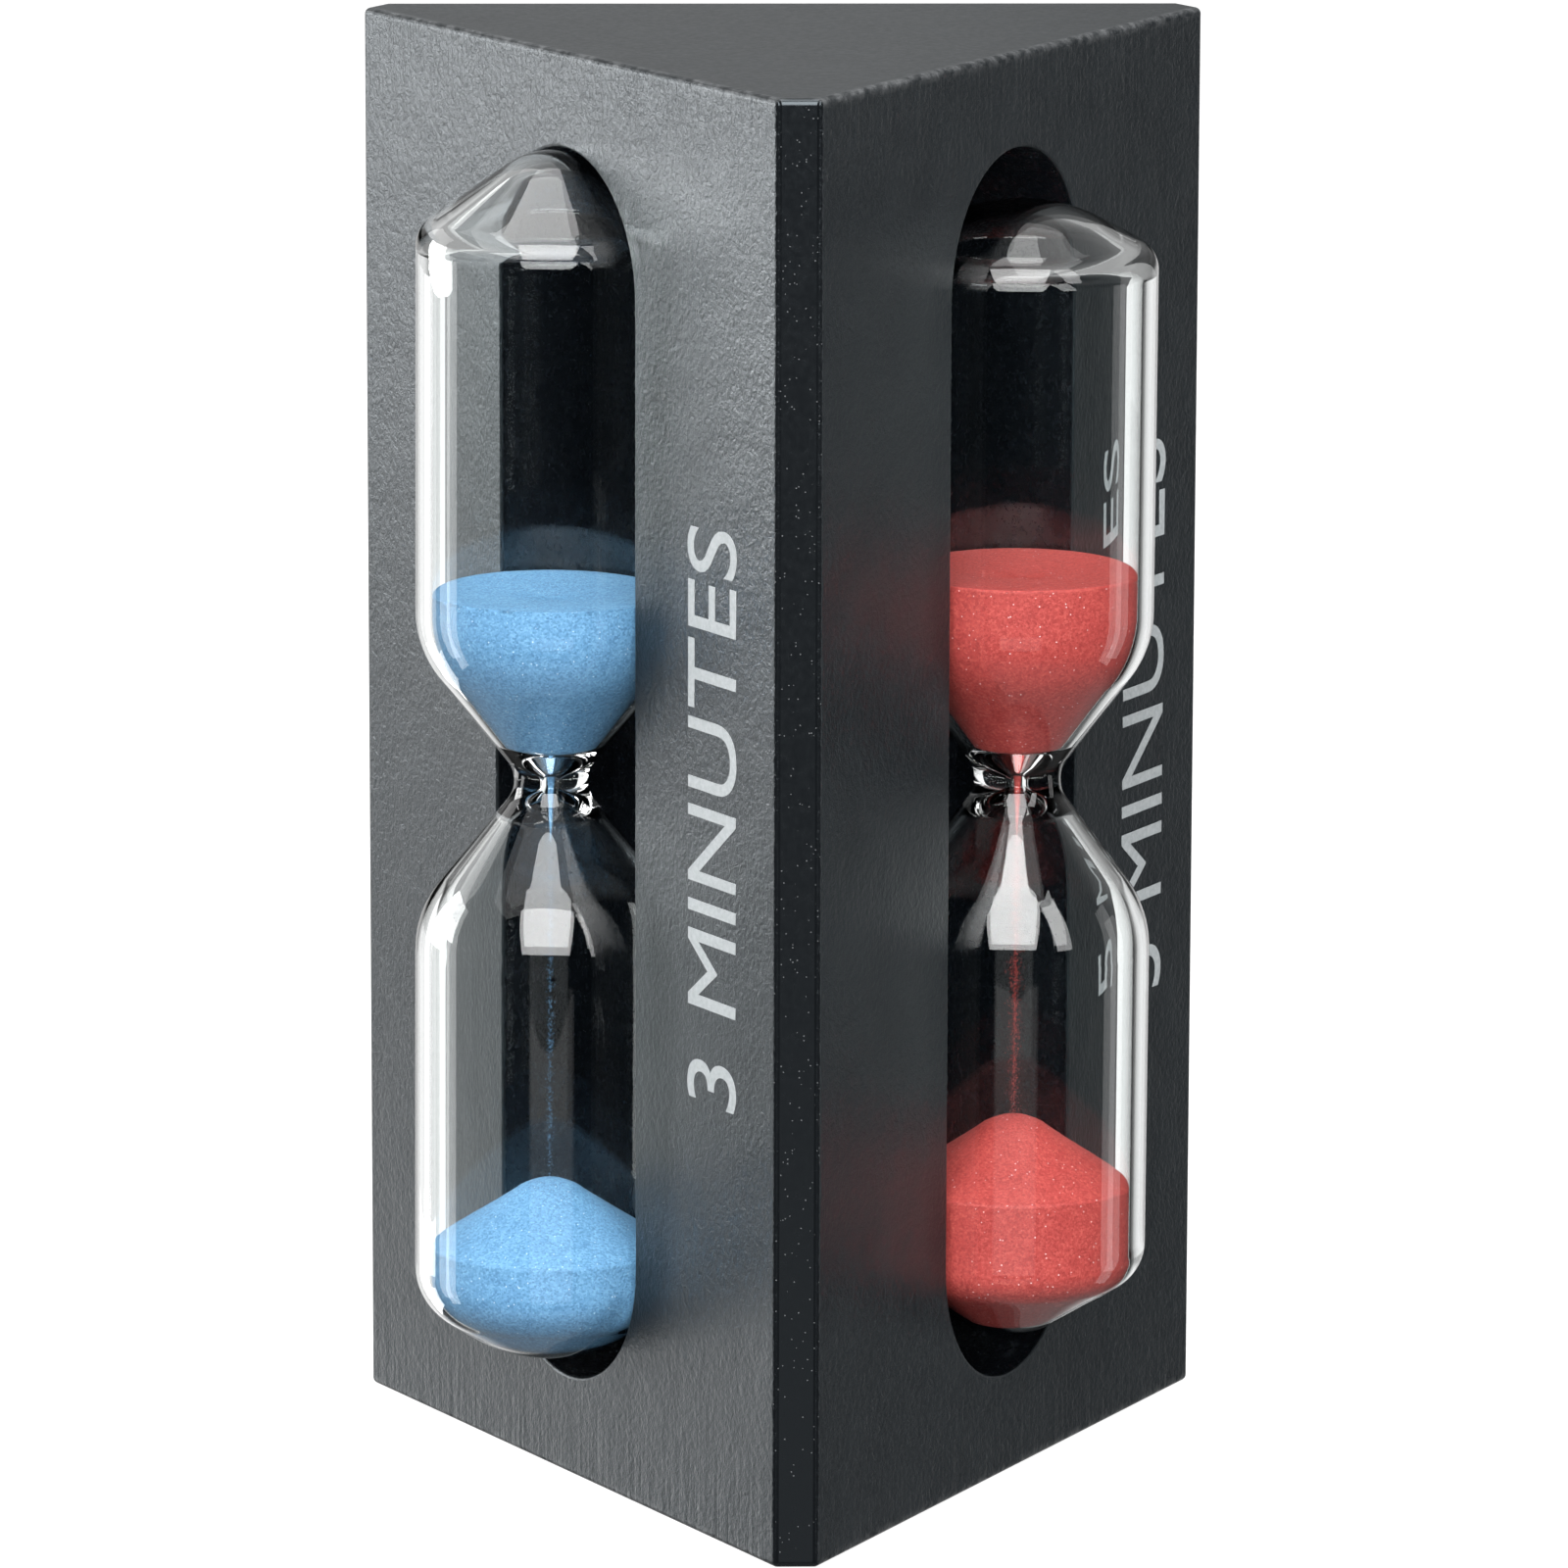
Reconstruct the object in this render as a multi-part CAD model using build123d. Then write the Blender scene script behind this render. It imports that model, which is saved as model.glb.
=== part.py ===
from build123d import *
import math
import os

# Triangular sand timer: one lacquered wooden prism with a pocket in each side, and in each
# pocket a sealed glass vial of sand glued to the pocket floor.
# Millimetres, +Z up. The origin is the centre of the base, on the plane it stands on.

# ---- block ----
block_height = 100.0
block_side = 62.0  # side of the triangle between its sharp corners
corner_flat = 3.0  # width of the flat that cuts each corner off
edge_ease = 0.45  # rounding along every outer edge
face_distance = block_side / (2 * math.sqrt(3))  # centre of the block to a side face

# ---- pockets, one cutter pass each, with fully round ends ----
pocket_width = 18.9
pocket_low_z = 7.1
pocket_high_z = 93.4
pocket_depth = 9.4
pocket_rim_ease = 0.25

# ---- vials ----
neck_z = 49.6  # height of the narrowest point of every vial
tube_wall = 1.1
crown_wall = 1.5  # glass at the sealed top end
base_wall = 1.8  # glass at the sealed bottom end
cone_rise = 9.3  # neck to where the cone's slope would meet the tube, up and down
neck_half = 0.8  # half the height of the straight neck before it opens out
cone_round = 7.5  # rounding between tube and cone
neck_round = 2.2  # rounding between cone and neck
funnel_r = 3.5  # inside, the cone ends here and a flatter funnel begins
funnel_top = 2.0  # height of that point over the neck
funnel_round = 2.0
orifice_r = 0.45
orifice_half = 0.6
orifice_round = 0.8
pole_share = 0.97  # share of an end's flat that its rounding takes up

# ---- sand ----
thread_r = 0.36  # falling thread of sand
dip = 0.6  # hollow in the middle of the upper sand
heap_cap_r = 2.2  # rounded top of the lower heap
heap_cap_drop = 0.7

# ---- adhesive ----
bead_r = 2.6
bead_high_z = 62.0
bead_low_z = 18.5
bead_length = 2.2

# Each vial: the azimuth of its face, how far its axis stands out from the face, its lean
# (degrees, foot outwards), tube and neck radii, end heights, and its sand levels. An end is its
# flat's radius, its height from the pole to where its slope meets the tube, and its shoulder round.
vials = {
    "3_min": dict(
        azimuth=210.0, offset=1.1, lean=0.35, tube_r=9.35, neck_r=2.55,
        low_z=8.8, high_z=93.3, low_end=(3.1, 4.0, 5.4), high_end=(2.05, 5.7, 5.6),
        level=62.9, heap_top=21.5, heap_edge=17.0,
    ),
    "5_min": dict(
        azimuth=-30.0, offset=0.3, lean=-0.27, tube_r=9.25, neck_r=3.0,
        low_z=10.3, high_z=89.9, low_end=(2.1, 4.7, 3.2), high_end=(2.9, 3.4, 2.3),
        level=64.3, heap_top=25.8, heap_edge=21.2,
    ),
    "4_min": dict(
        azimuth=90.0, offset=0.7, lean=0.0, tube_r=9.3, neck_r=2.8,
        low_z=9.6, high_z=91.5, low_end=(2.6, 4.3, 4.2), high_end=(2.4, 4.5, 4.0),
        level=63.6, heap_top=23.6, heap_edge=19.0,
    ),
}


def at_face(azimuth, offset=0.0, lean=0.0):
    """Frame whose +X leaves the face, offset from it, leaning about the height of the neck."""
    out = Rot(0, 0, azimuth) * Pos(face_distance + offset, 0, neck_z)
    return out * Rot(0, -lean, 0) * Pos(0, 0, -neck_z)


def make_block():
    corners = []
    apex_radius = block_side / math.sqrt(3)
    for number in range(3):
        angle = math.radians(-90 + 120 * number)
        along = Vector(math.cos(angle), math.sin(angle))
        across = Vector(-math.sin(angle), math.cos(angle))
        centre = along * (apex_radius - corner_flat / 2 / math.tan(math.radians(30)))
        corners.append(centre - across * (corner_flat / 2))
        corners.append(centre + across * (corner_flat / 2))
    outline = make_face(Polyline(*corners, close=True))
    prism = extrude(outline, block_height)
    prism = fillet(prism.edges(), edge_ease)
    straight = pocket_high_z - pocket_low_z - pocket_width
    middle = (pocket_high_z + pocket_low_z) / 2
    for vial in vials.values():
        plane = Plane(at_face(vial["azimuth"]) * Pos(0, 0, middle) * Rot(0, 90, 0))
        mouth = plane * Rot(0, 0, 180) * SlotCenterToCenter(straight, pocket_width)
        prism -= extrude(mouth, -pocket_depth)
        prism -= extrude(mouth, 1.0)
    rims = []
    for vial in vials.values():
        angle = math.radians(vial["azimuth"])
        normal = Vector(math.cos(angle), math.sin(angle))
        face = [f for f in prism.faces().filter_by(GeomType.PLANE) if f.normal_at().dot(normal) > 0.999]
        face = sorted(face, key=lambda f: f.area)[-1]
        rims += list(face.inner_wires()[0].edges())
    return fillet(rims, pocket_rim_ease)


def round_for(flat, rise, reach):
    """Largest neat rounding where an end's flat turns into its slope."""
    half_turn = math.atan2(rise, reach) / 2
    return pole_share * flat / math.tan(half_turn)


def revolve_outline(tube_r, high_z, low_z, high_end, low_end, waist, waist_rounds, skin):
    """Turned solid: a sealed end, the tube, the waist, the tube and the other sealed end."""
    high_flat, high_rise, high_shoulder = high_end
    low_flat, low_rise, low_shoulder = low_end
    points = [(0, 0, high_z), (high_flat, 0, high_z), (tube_r, 0, high_z - high_rise)]
    points += [(r, 0, neck_z + rise) for r, rise in waist]
    points += [(r, 0, neck_z - rise) for r, rise in reversed(waist)]
    points += [(tube_r, 0, low_z + low_rise), (low_flat, 0, low_z), (0, 0, low_z)]
    rounds = [round_for(high_flat, high_rise, tube_r - high_flat), high_shoulder - skin]
    rounds += waist_rounds + waist_rounds[::-1]
    rounds += [low_shoulder - skin, round_for(low_flat, low_rise, tube_r - low_flat)]
    outline = FilletPolyline(*points, radius=rounds)
    axis = Line(points[0], points[-1])
    return revolve(make_face([*outline.edges(), axis]), Axis.Z)


def make_outside(vial):
    waist = [(vial["tube_r"], cone_rise), (vial["neck_r"], neck_half)]
    return revolve_outline(
        vial["tube_r"], vial["high_z"], vial["low_z"], vial["high_end"], vial["low_end"],
        waist, [cone_round, neck_round], 0.0,
    )


def make_cavity(vial):
    tube_r = vial["tube_r"] - tube_wall
    waist = [(tube_r, cone_rise), (funnel_r, funnel_top), (orifice_r, orifice_half)]
    return revolve_outline(
        tube_r, vial["high_z"] - crown_wall, vial["low_z"] + base_wall,
        vial["high_end"], vial["low_end"],
        waist, [cone_round, funnel_round, orifice_round], tube_wall,
    )


def turned(*outline):
    return revolve(make_face(Polyline(*[(r, 0, z) for r, z in outline], close=True)), Axis.Z)


def make_vial(vial):
    """Glass, upper sand, lower sand, thread and outer body of one vial, upright on its own axis."""
    outside = make_outside(vial)
    cavity = make_cavity(vial)
    glass = outside - cavity
    wide = vial["tube_r"]
    funnel_z = neck_z + orifice_half
    bed = turned((0, funnel_z), (wide, funnel_z), (wide, vial["level"]), (0, vial["level"] - dip))
    upper = cavity & bed
    top = vial["heap_top"]
    heap_shape = turned(
        (0, top), (heap_cap_r / 2, top - heap_cap_drop / 4), (heap_cap_r, top - heap_cap_drop),
        (wide - tube_wall, vial["heap_edge"]), (wide, vial["heap_edge"] - 0.5), (wide, 0), (0, 0),
    )
    lower = cavity & heap_shape
    fall = Pos(0, 0, (funnel_z + top) / 2) * Cylinder(thread_r, funnel_z - top + 2.0)
    thread = fall - heap_shape - bed
    return glass, upper, lower, thread, outside


def make_bead(vial, outside, z):
    """Adhesive between the pocket floor and the back of the vial."""
    floor = at_face(vial["azimuth"], -pocket_depth + bead_length / 2) * Pos(0, 0, z)
    return floor * Rot(0, 90, 0) * Cylinder(bead_r, bead_length) - outside


os.makedirs("parts", exist_ok=True)
pieces = {"block": make_block()}
for name, vial in vials.items():
    place = at_face(vial["azimuth"], vial["offset"], vial["lean"])
    glass, upper, lower, thread, outside = [place * solid for solid in make_vial(vial)]
    pieces["glass_vial_" + name] = glass
    pieces["upper_sand_" + name] = upper
    pieces["lower_sand_" + name] = lower
    pieces["sand_thread_" + name] = thread
    pieces["upper_adhesive_" + name] = make_bead(vial, outside, bead_high_z)
    pieces["lower_adhesive_" + name] = make_bead(vial, outside, bead_low_z)
for node, solid in pieces.items():
    solid.label = node
    export_step(solid, "parts/" + node + ".step")
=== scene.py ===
import math
import random

import bpy
import bmesh
from mathutils import Matrix, Vector


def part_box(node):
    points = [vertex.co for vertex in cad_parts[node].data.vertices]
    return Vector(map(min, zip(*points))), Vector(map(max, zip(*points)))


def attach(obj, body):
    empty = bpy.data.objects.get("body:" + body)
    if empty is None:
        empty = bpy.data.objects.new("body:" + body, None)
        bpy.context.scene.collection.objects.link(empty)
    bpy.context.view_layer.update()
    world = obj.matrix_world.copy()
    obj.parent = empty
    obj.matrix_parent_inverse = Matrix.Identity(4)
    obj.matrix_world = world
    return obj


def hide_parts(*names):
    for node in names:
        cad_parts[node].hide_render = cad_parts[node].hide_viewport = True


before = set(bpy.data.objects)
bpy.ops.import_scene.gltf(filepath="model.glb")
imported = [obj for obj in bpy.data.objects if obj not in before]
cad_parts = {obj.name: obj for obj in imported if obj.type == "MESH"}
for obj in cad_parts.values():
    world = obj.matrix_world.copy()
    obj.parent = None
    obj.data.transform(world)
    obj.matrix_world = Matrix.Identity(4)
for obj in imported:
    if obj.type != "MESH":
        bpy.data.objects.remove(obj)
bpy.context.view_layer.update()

# Triangular sand timer: a black lacquered prism with a sealed glass vial of sand in each side.
# Metres, in the CAD frame: +Z up, origin at the centre of the base, front corner towards -Y.

MM = 0.001
BODY = "root"
rng = random.Random(41)

block_low, block_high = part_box("block")
HEIGHT = block_high.z - block_low.z
FACE_DISTANCE = block_high.y  # centre of the block to a side face; the back face looks along +Y
CORNER_DISTANCE = -block_low.y  # centre of the block to the flat on a corner

# ---- vials, turned as in the CAD, with thinner glass at the ends and a deeper funnel ----
NECK_Z = 49.6 * MM
TUBE_WALL = 1.1 * MM
CROWN_WALL = 1.15 * MM
CONE_RISE = 9.3 * MM
NECK_HALF = 0.8 * MM
CONE_ROUND = 7.5 * MM
NECK_ROUND = 2.2 * MM
FUNNEL = (3.3 * MM, 2.7 * MM)  # radius and height over the neck where the inner funnel begins
FUNNEL_ROUND = 2.0 * MM
ORIFICE = (0.5 * MM, 0.6 * MM)
ORIFICE_ROUND = 0.8 * MM
POLE_SHARE = 0.97
POCKET_R = 9.45 * MM
POCKET_ENDS = (16.55 * MM, 83.95 * MM)  # centres of the pocket's round ends
TUCK = 1.5 * MM  # how far in front of the face the glass starts to draw in
VIAL_SEGMENTS = 144

# ---- sand ----
GRAIN = 0.13 * MM
AIR_GAP = 0.05 * MM  # between the grains and the glass they lean on
DIP = 0.6 * MM
HEAP_CAP = 2.2 * MM
HEAP_CAP_DROP = 0.7 * MM
SAND_SEGMENTS = 224
RING_STEP = 0.14 * MM
THREAD_R = 0.3 * MM
STREAM_CORE = 4.5 * MM  # length below the neck
STREAM_GRAIN = 0.065 * MM

VIALS = {
    "3_min": dict(
        azimuth=210.0, offset=1.1, lean=0.35, tube_r=9.35, neck_r=2.55,
        low_z=8.8, high_z=93.3, low_end=(3.1, 4.0, 4.4), high_end=(1.75, 5.3, 2.4),
        base_wall=0.5, base_inside=(3.1, 3.8, 3.6),
        level=62.9, heap_top=21.5, heap_edge=17.0, label="3 MINUTES", colour="blue_sand",
        stream_grains=700, stream_spread=0.17,
        low_skew=0.0, high_skew=0.0,
    ),
    "5_min": dict(
        azimuth=-30.0, offset=0.3, lean=-0.27, tube_r=9.25, neck_r=3.0,
        low_z=10.3, high_z=89.9, low_end=(2.1, 4.7, 3.2), high_end=(2.9, 3.4, 2.3),
        base_wall=0.45, base_inside=(2.0, 4.2, 2.4),
        level=64.3, heap_top=25.8, heap_edge=21.2, label="5 MINUTES", colour="red_sand",
        stream_grains=1900, stream_spread=0.27,
        low_skew=0.9, high_skew=0.3,
    ),
    "4_min": dict(
        azimuth=90.0, offset=0.7, lean=0.0, tube_r=9.3, neck_r=2.8,
        low_z=9.6, high_z=91.5, low_end=(2.6, 4.3, 4.2), high_end=(2.4, 4.5, 4.0),
        base_wall=0.6, base_inside=(2.6, 4.0, 3.4),
        level=63.6, heap_top=23.6, heap_edge=19.0, label="4 MINUTES", colour="green_sand",
        stream_grains=1000, stream_spread=0.22,
        low_skew=0.3, high_skew=-0.3,
    ),
}

# ---- printed labels ----
LABEL_BASELINE = 23.0 * MM  # from the middle of the face, on the side a viewer calls right
LABEL_CAP_HEIGHT = 6.4 * MM
LABEL_LENGTH = 39.7 * MM
LABEL_MIDDLE_Z = 50.3 * MM
INK = 0.02 * MM


# ---- studio ----
FLOOR_HALF = 6.0
FLOOR_GAP = 0.02 * MM
FLOOR_GLOW = 0.9
SKY_GLOW = 0.4
TABLE_GLOW = 0.9
UNDER_GLOW = 0.2


# ======================= geometry helpers =======================

def at_face(azimuth, offset=0.0, lean=0.0):
    """Matrix whose +X leaves the face, offset from it, leaning about the height of the neck."""
    turn = Matrix.Rotation(math.radians(azimuth), 4, "Z")
    out = Matrix.Translation((FACE_DISTANCE + offset, 0, NECK_Z))
    tip = Matrix.Rotation(math.radians(-lean), 4, "Y")
    return turn @ out @ tip @ Matrix.Translation((0, 0, -NECK_Z))


def rounded(points, rounds, steps=10):
    """A polyline of (radius, z) with each inner corner turned into an arc of `steps` chords."""
    out = [Vector(points[0])]
    for before, corner, after, radius in zip(points, points[1:], points[2:], rounds):
        before, corner, after = Vector(before), Vector(corner), Vector(after)
        one = (before - corner).normalized()
        two = (after - corner).normalized()
        half = one.angle(two) / 2
        reach = radius / math.tan(half)
        centre = corner + (one + two).normalized() * (radius / math.sin(half))
        start = corner + one * reach - centre
        end = corner + two * reach - centre
        sweep = start.angle_signed(end)
        for k in range(steps + 1):
            turn = Matrix.Rotation(-sweep * k / steps, 2)
            out.append(centre + turn @ start)
    out.append(Vector(points[-1]))
    return out


def divided(line, longest):
    """The same line with no step longer than `longest`."""
    out = [line[0]]
    for start, end in zip(line, line[1:]):
        count = max(1, math.ceil((end - start).length / longest))
        out += [start.lerp(end, (k + 1) / count) for k in range(count)]
    return out


def lathe(bm, line, segments, outward=True):
    """Turns a line of (radius, z) about Z; a point on the axis becomes one vertex."""
    rings = []
    for radius, z in line:
        if radius < 1e-7:
            rings.append([bm.verts.new((0, 0, z))])
            continue
        ring = []
        for k in range(segments):
            angle = 2 * math.pi * k / segments
            ring.append(bm.verts.new((radius * math.cos(angle), radius * math.sin(angle), z)))
        rings.append(ring)
    for upper, lower in zip(rings, rings[1:]):
        for k in range(segments):
            n = (k + 1) % segments
            if len(upper) == 1 and len(lower) == 1:
                break
            if len(upper) == 1:
                face = [upper[0], lower[k], lower[n]]
            elif len(lower) == 1:
                face = [upper[k], lower[0], upper[n]]
            else:
                face = [upper[k], lower[k], lower[n], upper[n]]
            bm.faces.new(face if outward else face[::-1])
    return rings


def finish_piece(bm, name, nodes, material, smooth=True):
    """Makes the object, rides it on the body and hides the CAD nodes it stands for."""
    mesh = bpy.data.meshes.new(name)
    bm.to_mesh(mesh)
    bm.free()
    if smooth:
        mesh.shade_smooth()
    mesh.materials.append(material)
    piece = bpy.data.objects.new(name, mesh)
    bpy.context.scene.collection.objects.link(piece)
    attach(piece, BODY)
    if nodes:
        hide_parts(*nodes)
    return piece


# ======================= material helpers =======================

class Nodes:
    """Short hands for building a node tree."""

    def __init__(self, name):
        self.material = bpy.data.materials.new(name)
        self.material.use_nodes = True
        self.tree = self.material.node_tree
        self.tree.nodes.clear()
        self.out = self.tree.nodes.new("ShaderNodeOutputMaterial")
        self.coords = self.add("ShaderNodeTexCoord").outputs["Object"]

    def add(self, kind, **settings):
        node = self.tree.nodes.new(kind)
        for key, value in settings.items():
            setattr(node, key, value)
        return node

    def link(self, source, target):
        self.tree.links.new(source, target)

    def feed(self, socket, value):
        if isinstance(value, bpy.types.NodeSocket):
            self.link(value, socket)
        else:
            socket.default_value = value

    def math(self, operation, *values):
        node = self.add("ShaderNodeMath", operation=operation)
        for socket, value in zip(node.inputs, values):
            self.feed(socket, value)
        return node.outputs[0]

    def noise(self, scale, detail=2.0, rough=0.5, coords=None, distortion=0.0):
        node = self.add("ShaderNodeTexNoise")
        self.link(coords or self.coords, node.inputs["Vector"])
        node.inputs["Scale"].default_value = scale
        node.inputs["Detail"].default_value = detail
        node.inputs["Roughness"].default_value = rough
        node.inputs["Distortion"].default_value = distortion
        return node.outputs["Fac"]

    def cells(self, scale):
        node = self.add("ShaderNodeTexVoronoi")
        self.link(self.coords, node.inputs["Vector"])
        node.inputs["Scale"].default_value = scale
        return node

    def stretch(self, scale):
        node = self.add("ShaderNodeMapping")
        self.link(self.coords, node.inputs["Vector"])
        node.inputs["Scale"].default_value = scale
        return node.outputs[0]

    def ramp(self, value, low, high, start=0.0, end=1.0):
        node = self.add("ShaderNodeMapRange")
        self.feed(node.inputs["Value"], value)
        node.inputs["From Min"].default_value = low
        node.inputs["From Max"].default_value = high
        node.inputs["To Min"].default_value = start
        node.inputs["To Max"].default_value = end
        return node.outputs["Result"]

    def mix(self, factor, first, second):
        node = self.add("ShaderNodeMix", data_type="RGBA")
        self.feed(node.inputs["Factor"], factor)
        self.feed(node.inputs["A"], first)
        self.feed(node.inputs["B"], second)
        return node.outputs["Result"]

    def bump(self, height, distance, strength):
        node = self.add("ShaderNodeBump")
        self.link(height, node.inputs["Height"])
        node.inputs["Distance"].default_value = distance
        node.inputs["Strength"].default_value = strength
        return node.outputs["Normal"]

    def principled(self, **values):
        shader = self.add("ShaderNodeBsdfPrincipled")
        for key, value in values.items():
            self.feed(shader.inputs[key.replace("_", " ")], value)
        return shader

    def done(self, shader_socket):
        self.link(shader_socket, self.out.inputs["Surface"])
        return self.material


def dot_max(nodes, directions):
    """Largest dot product of the surface point with the directions."""
    best = None
    for direction in directions:
        product = nodes.add("ShaderNodeVectorMath", operation="DOT_PRODUCT")
        nodes.link(nodes.coords, product.inputs[0])
        product.inputs[1].default_value = direction
        value = product.outputs["Value"]
        best = value if best is None else nodes.math("MAXIMUM", best, value)
    return best


# ======================= materials =======================

def lacquer_material():
    """Black sprayed lacquer on wood: pebbled sides, smoother ends, dark corner strips, worn edges,
    painted sparkle on the corners and painted shade in the pockets.
    """
    n = Nodes("black_lacquer")
    corner_ways = [(math.cos(math.radians(a)), math.sin(math.radians(a)), 0) for a in (-90, 30, 150)]
    face_ways = [(-x, -y, 0) for x, y, _ in corner_ways]
    to_corner = dot_max(n, corner_ways)
    to_face = dot_max(n, face_ways)
    split = n.add("ShaderNodeSeparateXYZ")
    n.link(n.coords, split.inputs[0])
    z = split.outputs["Z"]
    from_middle = n.math("ABSOLUTE", n.math("SUBTRACT", z, HEIGHT / 2))
    on_end = n.ramp(from_middle, HEIGHT / 2 - 0.16 * MM, HEIGHT / 2 - 0.04 * MM)
    on_corner = n.ramp(to_corner, CORNER_DISTANCE - 0.22 * MM, CORNER_DISTANCE - 0.1 * MM)
    on_face = n.ramp(to_face, FACE_DISTANCE - 0.3 * MM, FACE_DISTANCE - 0.12 * MM)
    not_end = n.math("SUBTRACT", 1.0, on_end)
    side = n.math("MULTIPLY", on_face, not_end)
    # the pocket walls and floors, coloured darker below as painted shade
    pocket_shade_mask = n.math("MULTIPLY", n.math("SUBTRACT", 1.0, on_face), n.math("SUBTRACT", 1.0, on_corner))
    pocket_shade_mask = n.math("MULTIPLY", pocket_shade_mask, not_end)

    # spray texture: short leathery pebbles with a finer grain between them
    pebble_coords = n.stretch((1.0, 1.0, 0.85))
    pebbles = n.noise(2300.0, 3.0, 0.62, pebble_coords, 0.35)
    fine = n.noise(7600.0, 2.0, 0.6)
    broad = n.noise(260.0, 3.0, 0.5)
    runs = n.noise(1500.0, 3.0, 0.6, n.stretch((1.0, 1.0, 0.06)))
    near_end = n.ramp(from_middle, HEIGHT / 2 - 9 * MM, HEIGHT / 2 - 0.6 * MM)
    height = n.math("ADD", pebbles, n.math("MULTIPLY", fine, 0.22))
    height = n.math("ADD", height, n.math("MULTIPLY", broad, 1.3))
    height = n.math("ADD", height, n.math("MULTIPLY", n.math("MULTIPLY", runs, near_end), 1.2))
    calm = n.math("ADD", n.math("MULTIPLY", side, 0.95), 0.05)
    height = n.math("MULTIPLY", height, calm)
    normal = n.bump(height, 0.075 * MM, 1.0)

    # worn paint where two faces meet
    edge_end = n.ramp(from_middle, HEIGHT / 2 - 0.75 * MM, HEIGHT / 2 - 0.12 * MM)
    edge_side = n.ramp(to_face, FACE_DISTANCE - 0.75 * MM, FACE_DISTANCE - 0.2 * MM)
    edge_band = n.math("MULTIPLY", edge_end, edge_side)
    worn = n.math("MULTIPLY", edge_band, n.ramp(n.noise(900.0, 4.0, 0.7), 0.42, 0.66))

    # pale specks: painted sparkle on the corner strips, where they are strongest, and faint dust on the
    # faces
    specks = n.cells(6600.0)
    tone = n.add("ShaderNodeSeparateColor")
    n.link(specks.outputs["Color"], tone.inputs[0])
    dust_and_sparkle = n.math("GREATER_THAN", tone.outputs["Red"], 0.965)
    dust_and_sparkle = n.math("MULTIPLY", dust_and_sparkle, n.math("LESS_THAN", specks.outputs["Distance"], 0.3))
    dust_and_sparkle_amount = n.math("ADD", n.math("MULTIPLY", on_corner, 0.25), 0.03)

    base = n.mix(n.ramp(broad, 0.35, 0.65), (0.0040, 0.0052, 0.0062, 1), (0.0060, 0.0076, 0.0088, 1))
    base = n.mix(n.math("MULTIPLY", worn, 0.55), base, (0.16, 0.165, 0.17, 1))
    base = n.mix(on_corner, base, (0.0035, 0.0042, 0.005, 1))
    # painted shade: the pockets are coloured near black to stand for the shade inside them
    base = n.mix(pocket_shade_mask, base, (0.0012, 0.0016, 0.0024, 1))
    # painted sparkle and dust: pale specks in the colour, mostly on the corner strips
    base = n.mix(n.math("MULTIPLY", dust_and_sparkle, dust_and_sparkle_amount), base, (0.42, 0.44, 0.45, 1))

    rough = n.math("ADD", n.ramp(pebbles, 0.3, 0.7, 0.30, 0.38), n.math("MULTIPLY", on_end, 0.03))
    rough = n.math("ADD", rough, n.math("MULTIPLY", pocket_shade_mask, -0.08))
    rough = n.math("ADD", rough, n.math("MULTIPLY", on_corner, -0.10))
    shader = n.principled(Base_Color=base, Roughness=rough, IOR=1.5, Normal=normal)
    shader.inputs["Specular Tint"].default_value = (0.82, 0.93, 1.0, 1)
    return n.done(shader.outputs[0])


def glass_material():
    """Clear borosilicate; lamps shine through it to the sand."""
    n = Nodes("clear_glass")
    shader = n.principled(Base_Color=(0.965, 0.985, 0.982, 1), Roughness=0.0, IOR=1.47)
    shader.inputs["Transmission Weight"].default_value = 1.0
    clear = n.add("ShaderNodeBsdfTransparent")
    clear.inputs["Color"].default_value = (0.96, 0.975, 0.975, 1)
    path = n.add("ShaderNodeLightPath")
    mix = n.add("ShaderNodeMixShader")
    n.link(path.outputs["Is Shadow Ray"], mix.inputs[0])
    n.link(shader.outputs[0], mix.inputs[1])
    n.link(clear.outputs[0], mix.inputs[2])
    return n.done(mix.outputs[0])


def sand_material(name, deep, main, pale):
    """Fine dyed grains: each its own tone, and a few grains coloured pale and made glossier as painted
    glints.
    """
    n = Nodes(name)
    grains = n.cells(1 / GRAIN)
    tone = n.add("ShaderNodeSeparateColor")
    n.link(grains.outputs["Color"], tone.inputs[0])
    patch = n.noise(300.0, 3.0, 0.6)
    shade = n.math("ADD", n.math("MULTIPLY", tone.outputs["Red"], 0.7), n.math("MULTIPLY", patch, 0.3))
    base = n.mix(n.ramp(shade, 0.1, 0.5), deep, main)
    base = n.mix(n.ramp(shade, 0.6, 1.0), base, pale)
    # the few grains that get a painted glint
    glint_grain = n.math("GREATER_THAN", tone.outputs["Green"], 0.98)
    painted_glint = n.math("MULTIPLY", glint_grain, n.math("LESS_THAN", grains.outputs["Distance"], 0.3))
    # painted glint: a few grains coloured pale to stand for sparkle
    base = n.mix(n.math("MULTIPLY", painted_glint, 0.6), base, (0.86, 0.90, 0.93, 1))
    normal = n.bump(n.math("SUBTRACT", 1.0, grains.outputs["Distance"]), 0.025 * MM, 0.5)
    rough = n.math("SUBTRACT", 0.7, n.math("MULTIPLY", painted_glint, 0.45))
    shader = n.principled(Base_Color=base, Roughness=rough, IOR=1.45, Normal=normal)
    return n.done(shader.outputs[0])


def adhesive_material():
    n = Nodes("dark_adhesive")
    lumps = n.noise(900.0, 3.0, 0.5)
    base = n.mix(lumps, (0.008, 0.008, 0.009, 1), (0.02, 0.02, 0.022, 1))
    normal = n.bump(lumps, 0.08 * MM, 0.6)
    shader = n.principled(Base_Color=base, Roughness=0.38, IOR=1.45, Normal=normal)
    return n.done(shader.outputs[0])


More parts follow.
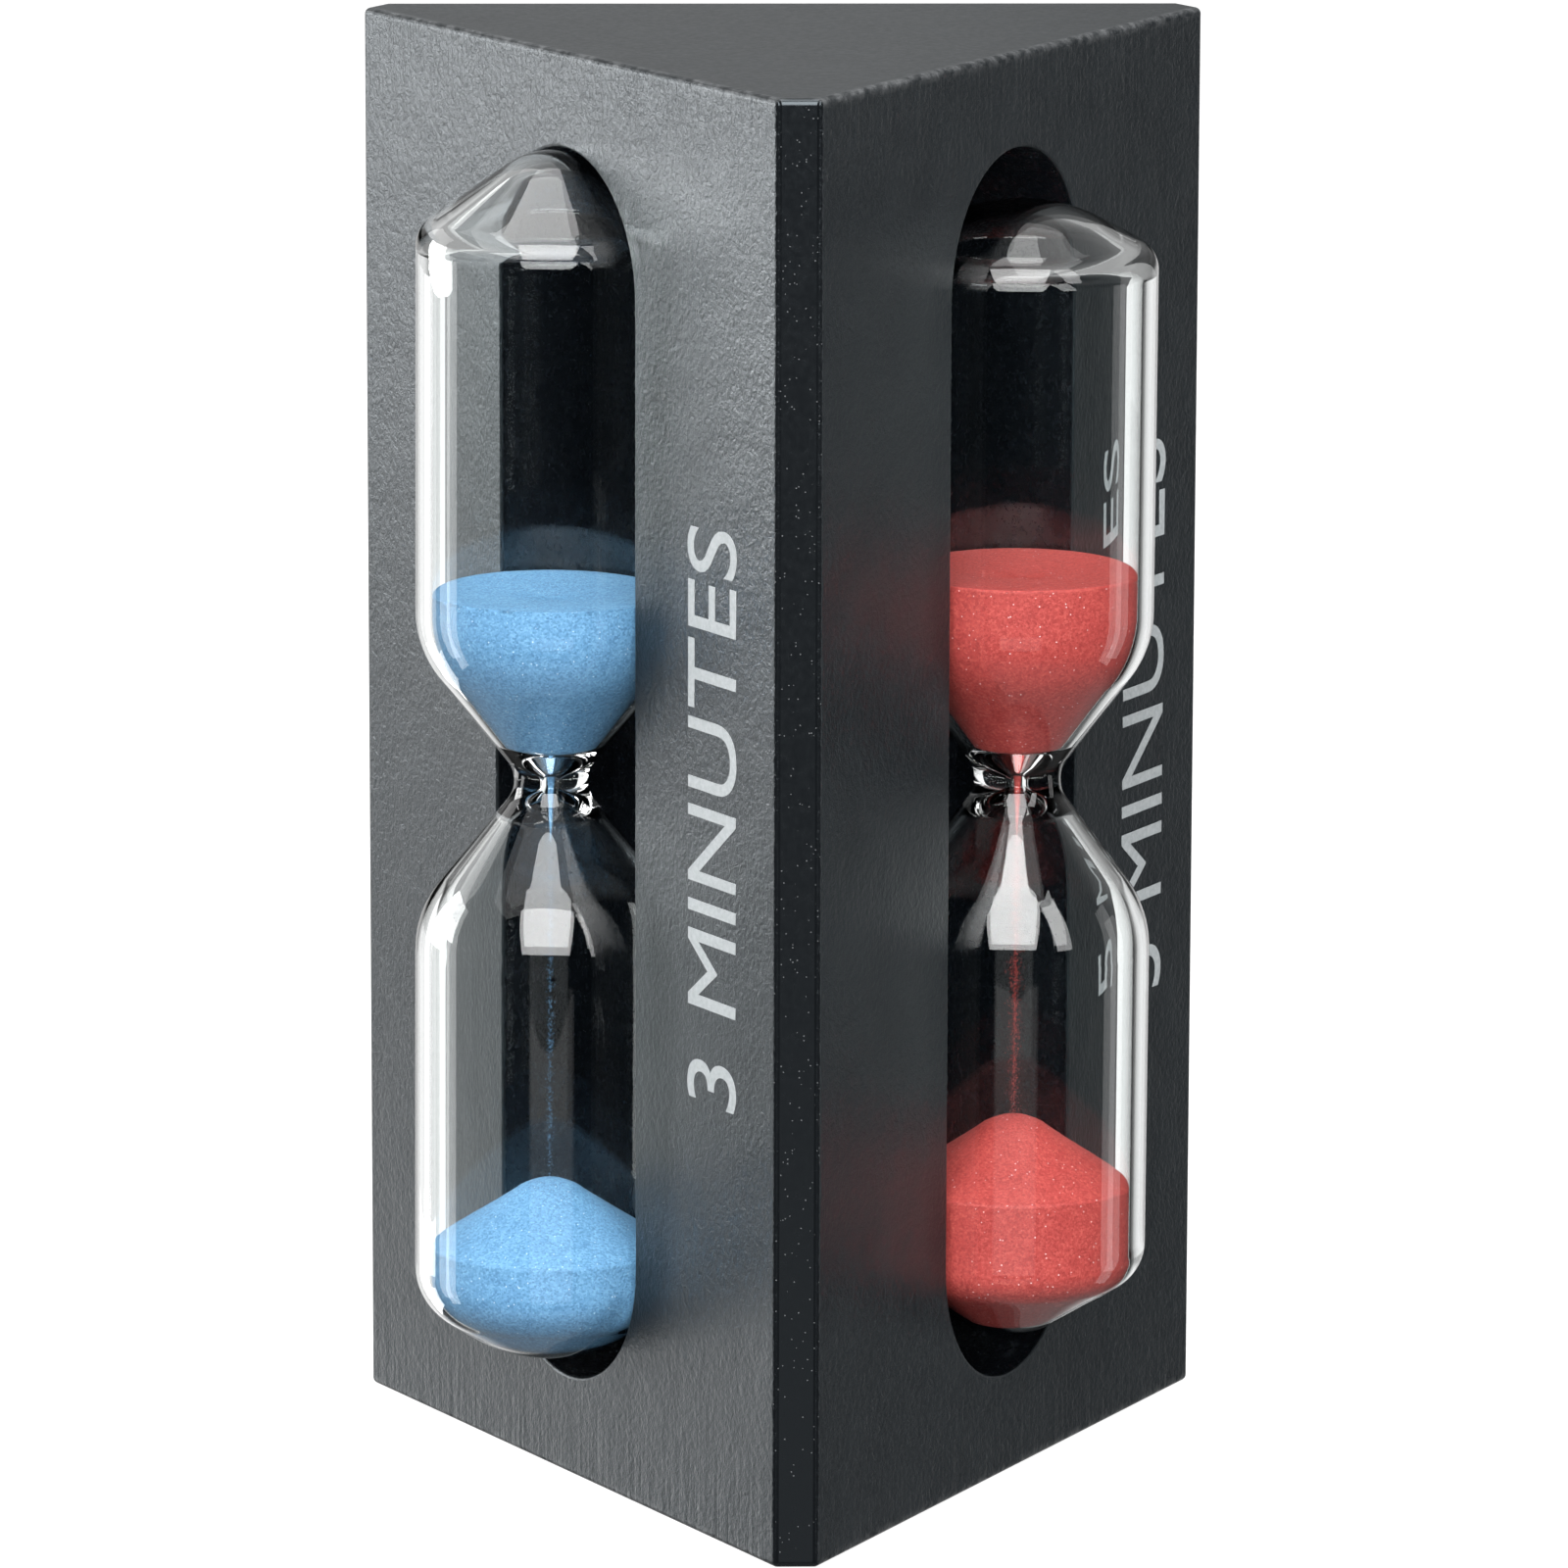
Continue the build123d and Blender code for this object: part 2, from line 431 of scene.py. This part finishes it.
def ink_material():
    """Pale screen-printed ink, thin over the pebbles of the lacquer."""
    n = Nodes("label_ink")
    mottle = n.noise(3000.0, 3.0, 0.6)
    thin = n.noise(900.0, 4.0, 0.7)
    base = n.mix(n.ramp(mottle, 0.3, 0.7), (0.31, 0.335, 0.345, 1), (0.42, 0.445, 0.455, 1))
    base = n.mix(n.math("MULTIPLY", n.ramp(thin, 0.66, 0.76), 0.45), base, (0.12, 0.125, 0.13, 1))
    pebbles = n.noise(2300.0, 3.0, 0.62, n.stretch((1.0, 1.0, 0.62)), 0.35)
    normal = n.bump(pebbles, 0.02 * MM, 0.8)
    shader = n.principled(Base_Color=base, Roughness=0.55, IOR=1.48, Normal=normal)
    return n.done(shader.outputs[0])


# ======================= pieces =======================

def round_for(flat, rise, reach):
    return POLE_SHARE * flat / math.tan(math.atan2(rise, reach) / 2)


def vial_outline(vial, inside):
    """Half outline of the glass from pole to pole, outside or inside."""
    wall = TUBE_WALL if inside else 0.0
    tube_r = vial["tube_r"] * MM - wall
    high_z = vial["high_z"] * MM - (CROWN_WALL if inside else 0)
    high_flat, high_rise, high_shoulder = [v * MM for v in vial["high_end"]]
    low_flat, low_rise, low_shoulder = [v * MM for v in vial["base_inside" if inside else "low_end"]]
    low_z = (vial["low_z"] + (vial["base_wall"] if inside else 0)) * MM
    if inside:
        waist = [(tube_r, CONE_RISE), FUNNEL, ORIFICE]
        waist_rounds = [CONE_ROUND, FUNNEL_ROUND, ORIFICE_ROUND]
    else:
        waist = [(tube_r, CONE_RISE), (vial["neck_r"] * MM, NECK_HALF)]
        waist_rounds = [CONE_ROUND, NECK_ROUND]
    points = [(0, high_z), (high_flat, high_z), (tube_r, high_z - high_rise)]
    points += [(r, NECK_Z + rise) for r, rise in waist]
    points += [(r, NECK_Z - rise) for r, rise in waist[::-1]]
    points += [(tube_r, low_z + low_rise), (low_flat, low_z), (0, low_z)]
    rounds = [round_for(high_flat, high_rise, tube_r - high_flat), high_shoulder - wall]
    rounds += waist_rounds + waist_rounds[::-1]
    rounds += [low_shoulder, round_for(low_flat, low_rise, tube_r - low_flat)]
    return rounded(points, rounds)


def hand_made(point, vial, wall=0.0):
    """Where a point of perfect turned glass lies on the real, flame-worked vial.

    Its ends lean a little, and behind the face its shoulders clear the pocket's round ends.
    """
    x, y, z = point
    low = max(0.0, 1 - (z / MM - vial["low_z"]) / 7.0)
    high = max(0.0, 1 - (vial["high_z"] - z / MM) / 7.0)
    shift = (vial["low_skew"] * low * low + vial["high_skew"] * high * high) * MM
    spread = math.hypot(x, y) / (vial["tube_r"] * MM)
    beyond = max(z - POCKET_ENDS[1], POCKET_ENDS[0] - z, 0.0)
    room = POCKET_R - 0.02 * MM - wall
    behind = min(max((TUCK - x - vial["offset"] * MM) / TUCK, 0.0), 1.0)
    if math.hypot(y, beyond) > room:
        limit = math.sqrt(max(room * room - beyond * beyond, 0.0))
        y += (math.copysign(min(abs(y), limit), y) - y) * behind
    return Vector((x, y - shift * (1 - spread), z))


def make_glass(name, vial, material):
    place = at_face(vial["azimuth"], vial["offset"] * MM, vial["lean"])
    bm = bmesh.new()
    for inside in (False, True):
        line = divided(vial_outline(vial, inside), 1.2 * MM)
        for ring in lathe(bm, line, VIAL_SEGMENTS, outward=not inside):
            for v in ring:
                v.co = place @ hand_made(v.co, vial, TUBE_WALL if inside else 0.0)
    return finish_piece(bm, "vial_" + name, ["glass_vial_" + name], material)


def inside_radius(outline, z):
    """Radius of the cavity at height z."""
    for a, b in zip(outline, outline[1:]):
        if min(a.y, b.y) <= z <= max(a.y, b.y) and a.y != b.y:
            return a.x + (b.x - a.x) * (z - a.y) / (b.y - a.y)
    return 0.0


def settle(bm, rings, open_rings, place, vial):
    """Grain-sized roughness on every vertex, most on the free surface, then into place."""
    for index, ring in enumerate(rings):
        free = index < open_rings
        for v in ring:
            if free:
                v.co.z += rng.uniform(-0.2, 0.2) * GRAIN
                continue
            flat = math.hypot(v.co.x, v.co.y)
            if flat > GRAIN:
                pull = 1 - rng.uniform(0, 0.15) * GRAIN / flat
                v.co.x *= pull
                v.co.y *= pull
    for v in bm.verts:
        v.co = place @ hand_made(v.co, vial, TUBE_WALL + AIR_GAP)


def cavity_part(outline, low_z, high_z):
    """The stretch of the cavity's outline between two heights, a little inside the glass."""
    part = [Vector((max(p.x - AIR_GAP, 0.0), p.y)) for p in outline if low_z < p.y < high_z]
    top = Vector((inside_radius(outline, high_z) - AIR_GAP, high_z))
    return [top] + part


def make_upper_sand(name, vial, material):
    outline = divided(vial_outline(vial, True), 0.3 * MM)
    level = vial["level"] * MM
    wall = cavity_part(outline, NECK_Z + ORIFICE[1], level)
    edge_r = wall[0].x
    count = int(edge_r / RING_STEP)
    surface = []
    for k in range(count):
        r = edge_r * k / count
        surface.append(Vector((r, level - DIP * (1 - r / edge_r) ** 1.3)))
    foot = [Vector((wall[-1].x, NECK_Z + ORIFICE[1])), Vector((0, NECK_Z + ORIFICE[1]))]
    bm = bmesh.new()
    rings = lathe(bm, surface + wall + foot, SAND_SEGMENTS)
    place = at_face(vial["azimuth"], vial["offset"] * MM, vial["lean"])
    settle(bm, rings, len(surface), place, vial)
    return finish_piece(bm, "sand_above_" + name, ["upper_sand_" + name], material)


def heap_height(vial, r, edge_r):
    """Height of the lower heap at a radius: a cone at the angle of repose with a rounded top."""
    top = vial["heap_top"] * MM
    edge = vial["heap_edge"] * MM
    if r < HEAP_CAP:
        return top - HEAP_CAP_DROP * (r / HEAP_CAP) ** 1.7
    share = (r - HEAP_CAP) / (edge_r - HEAP_CAP)
    return top - HEAP_CAP_DROP + (edge - top + HEAP_CAP_DROP) * share ** 0.94


def make_lower_sand(name, vial, material):
    outline = divided(vial_outline(vial, True), 0.3 * MM)
    wall = cavity_part(outline, 0, vial["heap_edge"] * MM)
    edge_r = wall[0].x
    count = int(edge_r / RING_STEP)
    surface = []
    for k in range(count):
        r = edge_r * k / count
        surface.append(Vector((r, heap_height(vial, r, edge_r))))
    below_edge = [p for p in wall[1:-1] if p.y < wall[0].y - 2 * AIR_GAP]
    lifted = [Vector((p.x, p.y + AIR_GAP)) for p in below_edge]
    foot = [Vector((0, wall[-1].y + AIR_GAP))]
    bm = bmesh.new()
    rings = lathe(bm, surface + wall[:1] + lifted + foot, SAND_SEGMENTS)
    place = at_face(vial["azimuth"], vial["offset"] * MM, vial["lean"])
    settle(bm, rings, len(surface), place, vial)
    return finish_piece(bm, "sand_below_" + name, ["lower_sand_" + name], material)


def add_grain(bm, centre, size):
    """One grain: a squashed octahedron, turned at random."""
    turn = Matrix.Rotation(rng.uniform(0, math.tau), 3, Vector((rng.random(), rng.random(), 1)))
    ends = []
    for way in ((1, 0, 0), (-1, 0, 0), (0, 1, 0), (0, -1, 0), (0, 0, 1), (0, 0, -1)):
        ends.append(bm.verts.new(centre + turn @ Vector(way) * size * rng.uniform(0.38, 0.6)))
    for a, b in ((0, 2), (2, 1), (1, 3), (3, 0)):
        bm.faces.new((ends[a], ends[b], ends[4]))
        bm.faces.new((ends[b], ends[a], ends[5]))


def make_thread(name, vial, material):
    """The falling stream: a short core at the orifice, then single grains that part as they fall."""
    top = NECK_Z + ORIFICE[1] + 0.2 * MM
    bottom = vial["heap_top"] * MM - 0.1 * MM
    core_end = NECK_Z - STREAM_CORE
    steps = 30
    line = [Vector((0, top))]
    for k in range(steps):
        z = top + (core_end - top) * k / steps
        line.append(Vector((THREAD_R * (1 - k / steps) * rng.uniform(0.7, 1.0) + 0.02 * MM, z)))
    line.append(Vector((0, core_end)))
    bm = bmesh.new()
    lathe(bm, line, 8)
    for _ in range(vial["stream_grains"]):
        z = rng.uniform(bottom, NECK_Z - 0.5 * MM)
        away = abs(rng.gauss(0, vial["stream_spread"])) * MM
        angle = rng.uniform(0, math.tau)
        add_grain(bm, Vector((away * math.cos(angle), away * math.sin(angle), z)), STREAM_GRAIN)
    place = at_face(vial["azimuth"], vial["offset"] * MM, vial["lean"])
    bm.transform(place)
    nodes = ["sand_thread_" + name]
    return finish_piece(bm, "sand_stream_" + name, nodes, material, smooth=False)


def make_label(name, vial, material):
    """Printed duration beside the pocket, reading upwards."""
    curve = bpy.data.curves.new("label", "FONT")
    curve.body = vial["label"]
    curve.align_x = "CENTER"
    curve.size = 1.0
    curve.extrude = 0.5
    curve.resolution_u = 8
    text = bpy.data.objects.new("label_text", curve)
    bpy.context.scene.collection.objects.link(text)
    bpy.context.view_layer.update()
    mesh = bpy.data.meshes.new_from_object(text)
    bpy.data.objects.remove(text)
    xs = [v.co.x for v in mesh.vertices]
    ys = [v.co.y for v in mesh.vertices]
    middle = (max(xs) + min(xs)) / 2
    wide = LABEL_LENGTH / (max(xs) - min(xs))
    tall = LABEL_CAP_HEIGHT / (max(ys) - min(ys))
    place = at_face(vial["azimuth"])
    for v in mesh.vertices:
        along = (v.co.x - middle) * wide
        up = (v.co.y - min(ys)) * tall
        out = INK * (0.5 + v.co.z)
        v.co = place @ Vector((out, LABEL_BASELINE - up, LABEL_MIDDLE_Z + along))
    bm = bmesh.new()
    bm.from_mesh(mesh)
    bmesh.ops.remove_doubles(bm, verts=bm.verts, dist=1e-7)
    return finish_piece(bm, "printed_label_" + name, [], material, False)


# ======================= surroundings =======================

def seen_directly(nodes):
    """1 where the camera sees a surface straight or only through glass, 0 in reflections."""
    path = nodes.new("ShaderNodeLightPath")
    bounced = nodes.new("ShaderNodeMath")
    bounced.operation = "ADD"
    less = nodes.new("ShaderNodeMath")
    less.operation = "LESS_THAN"
    less.inputs[1].default_value = 0.5
    tree = path.id_data
    tree.links.new(path.outputs["Glossy Depth"], bounced.inputs[0])
    tree.links.new(path.outputs["Diffuse Depth"], bounced.inputs[1])
    tree.links.new(bounced.outputs[0], less.inputs[0])
    return less.outputs[0]


def make_floor():
    """A pale table with a faint glow of its own, left out of reflections like the room behind it."""
    n = Nodes("studio_floor")
    base = n.mix(n.noise(3.0), (0.20, 0.20, 0.20, 1), (0.21, 0.21, 0.21, 1))
    shader = n.principled(Base_Color=base, Roughness=0.7)
    shader.inputs["Emission Color"].default_value = (1, 1, 1, 1)
    shader.inputs["Emission Strength"].default_value = FLOOR_GLOW
    clear = n.add("ShaderNodeBsdfTransparent")
    mix = n.add("ShaderNodeMixShader")
    n.link(seen_directly(n.tree.nodes), mix.inputs[0])
    n.link(clear.outputs[0], mix.inputs[1])
    n.link(shader.outputs[0], mix.inputs[2])
    n.done(mix.outputs[0])
    bm = bmesh.new()
    signs = ((-1, -1), (1, -1), (1, 1), (-1, 1))
    bm.faces.new([bm.verts.new((x * FLOOR_HALF, y * FLOOR_HALF, 0)) for x, y in signs])
    mesh = bpy.data.meshes.new("floor")
    bm.to_mesh(mesh)
    bm.free()
    mesh.materials.append(n.material)
    floor = bpy.data.objects.new("floor", mesh)
    floor.location.z = block_low.z - FLOOR_GAP
    floor.visible_shadow = False
    floor.visible_glossy = False
    bpy.context.scene.collection.objects.link(floor)


def add_lamp(name, place, aim, width, height, radiance):
    lamp = bpy.data.lights.new(name, "AREA")
    lamp.shape = "RECTANGLE"
    lamp.size = width
    lamp.size_y = height
    lamp.energy = radiance * width * height * math.pi
    thing = bpy.data.objects.new(name, lamp)
    thing.location = place
    thing.rotation_mode = "QUATERNION"
    thing.rotation_quaternion = (place - aim).to_track_quat("Z", "Y")
    thing.visible_camera = False
    bpy.context.scene.collection.objects.link(thing)


def softbox(name, azimuth, elevation, distance, width, height, radiance):
    """Lamp aimed at the timer from a direction. Azimuth 0 is the camera's side, -Y, and 90 is +X."""
    a, e = math.radians(azimuth), math.radians(elevation)
    way = Vector((math.sin(a) * math.cos(e), -math.cos(a) * math.cos(e), math.sin(e)))
    target = Vector((0, 0, HEIGHT / 2))
    add_lamp(name, target + way * distance, target, width, height, radiance)


def panel(name, azimuth, distance, bottom, top, width, radiance):
    """Upright lamp beside the timer, between two heights over the table."""
    a = math.radians(azimuth)
    place = Vector((math.sin(a) * distance, -math.cos(a) * distance, (bottom + top) / 2))
    add_lamp(name, place, Vector((0, 0, place.z)), width, top - bottom, radiance)


def room_glow(tree):
    """Brightness of the studio around the timer: pale above and behind it and below it."""
    coords = tree.nodes.new("ShaderNodeTexCoord")
    split = tree.nodes.new("ShaderNodeSeparateXYZ")
    tree.links.new(coords.outputs["Generated"], split.inputs[0])

    def rise(axis, start, end, amount):
        node = tree.nodes.new("ShaderNodeMapRange")
        node.interpolation_type = "SMOOTHSTEP"
        tree.links.new(split.outputs[axis], node.inputs["Value"])
        node.inputs["From Min"].default_value = start
        node.inputs["From Max"].default_value = end
        node.inputs["To Max"].default_value = amount
        return node.outputs["Result"]

    def join(operation, first, second):
        node = tree.nodes.new("ShaderNodeMath")
        node.operation = operation
        tree.links.new(first, node.inputs[0])
        tree.links.new(second, node.inputs[1])
        return node.outputs[0]

    backdrop = join("MULTIPLY", rise("Z", 0.0, 0.3, SKY_GLOW), rise("Y", 0.0, 0.6, 1.0))
    table = join("MULTIPLY", rise("Z", 0.0, -0.1, TABLE_GLOW), rise("Y", 0.66, 0.88, 1.0))
    under = rise("Z", -0.5, -0.75, UNDER_GLOW)
    return join("ADD", backdrop, join("MAXIMUM", table, under))


def make_world():
    """White behind the timer, a dim studio in its reflections."""
    world = bpy.data.worlds.new("studio")
    world.use_nodes = True
    tree = world.node_tree
    background = tree.nodes["Background"]
    mix = tree.nodes.new("ShaderNodeMix")
    mix.data_type = "RGBA"
    tree.links.new(seen_directly(tree.nodes), mix.inputs["Factor"])
    tree.links.new(room_glow(tree), mix.inputs["A"])
    mix.inputs["B"].default_value = (1, 1, 1, 1)
    tree.links.new(mix.outputs["Result"], background.inputs["Color"])
    bpy.context.scene.world = world


def make_camera():
    """The photograph's viewpoint: a long lens, a little above the timer, front corner nearest."""
    pan, tilt, roll = math.radians(1.31), math.radians(11.62), math.radians(-0.14)
    forward = Vector((math.sin(pan) * math.cos(tilt), math.cos(pan) * math.cos(tilt), -math.sin(tilt)))
    right = forward.cross(Vector((0, 0, 1))).normalized()
    up = right.cross(forward)
    right, up = right * math.cos(roll) - up * math.sin(roll), up * math.cos(roll) + right * math.sin(roll)
    data = bpy.data.cameras.new("camera")
    data.sensor_width = 36.0
    data.lens = 226.3
    data.clip_start = 0.01
    data.clip_end = 50.0
    camera = bpy.data.objects.new("camera", data)
    turn = Matrix((right, up, -forward)).transposed().to_4x4()
    camera.matrix_world = Matrix.Translation((-15.6 * MM, -675.2 * MM, 186.2 * MM)) @ turn
    bpy.context.scene.collection.objects.link(camera)
    bpy.context.scene.camera = camera


# ======================= build =======================

lacquer = lacquer_material()
glass = glass_material()
adhesive = adhesive_material()
ink = ink_material()
sands = {
    "blue_sand": sand_material(
        "blue_sand", (0.042, 0.12, 0.225, 1), (0.08, 0.195, 0.33, 1), (0.135, 0.285, 0.43, 1)),
    "red_sand": sand_material(
        "red_sand", (0.19, 0.012, 0.010, 1), (0.26, 0.026, 0.022, 1), (0.34, 0.058, 0.046, 1)),
    "green_sand": sand_material(
        "green_sand", (0.018, 0.10, 0.03, 1), (0.045, 0.19, 0.07, 1), (0.11, 0.29, 0.12, 1)),
}

for node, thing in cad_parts.items():
    thing.data.materials.clear()
    thing.data.materials.append(lacquer if node == "block" else adhesive)

for name, vial in VIALS.items():
    sand = sands[vial["colour"]]
    make_glass(name, vial, glass)
    make_upper_sand(name, vial, sand)
    make_lower_sand(name, vial, sand)
    make_thread(name, vial, sand)
    make_label(name, vial, ink)

make_floor()
make_world()
# softbox: name, azimuth, elevation, distance, width, height, radiance
softbox("key_box", -4.5, 36, 1.2, 0.95, 1.1, 10.0)
softbox("key_right", 41, 30, 1.2, 0.3, 1.0, 6.0)
softbox("overhead_box", -90, 82, 1.2, 1.5, 1.5, 1.0)
softbox("overhead_core", -90, 82, 1.1, 0.7, 0.7, 3.6)
softbox("back_box", -165, 12, 1.5, 1.0, 0.35, 0.3)
# panel: name, azimuth, distance, bottom, top, width, radiance
panel("left_lamp", -112, 0.45, 0.02, 0.2, 0.2, 10.0)
panel("left_side", -100, 0.45, -0.21, 0.2, 0.10, 3.2)
panel("left_high", -122, 0.45, 0.2, 0.36, 0.3, 2.0)
panel("left_low", -134, 0.45, -0.21, -0.09, 0.18, 2.8)
panel("left_back", -134, 0.45, -0.09, 0.02, 0.18, 0.9)
panel("right_side", 94, 0.45, -0.21, 0.2, 0.12, 1.4)
panel("right_back", 148, 0.45, -0.21, 0.15, 0.18, 0.15)
panel("front_low", 0, 0.6, -0.25, -0.1, 0.4, 0.35)
make_camera()
bpy.context.scene.view_settings.view_transform = "Standard"
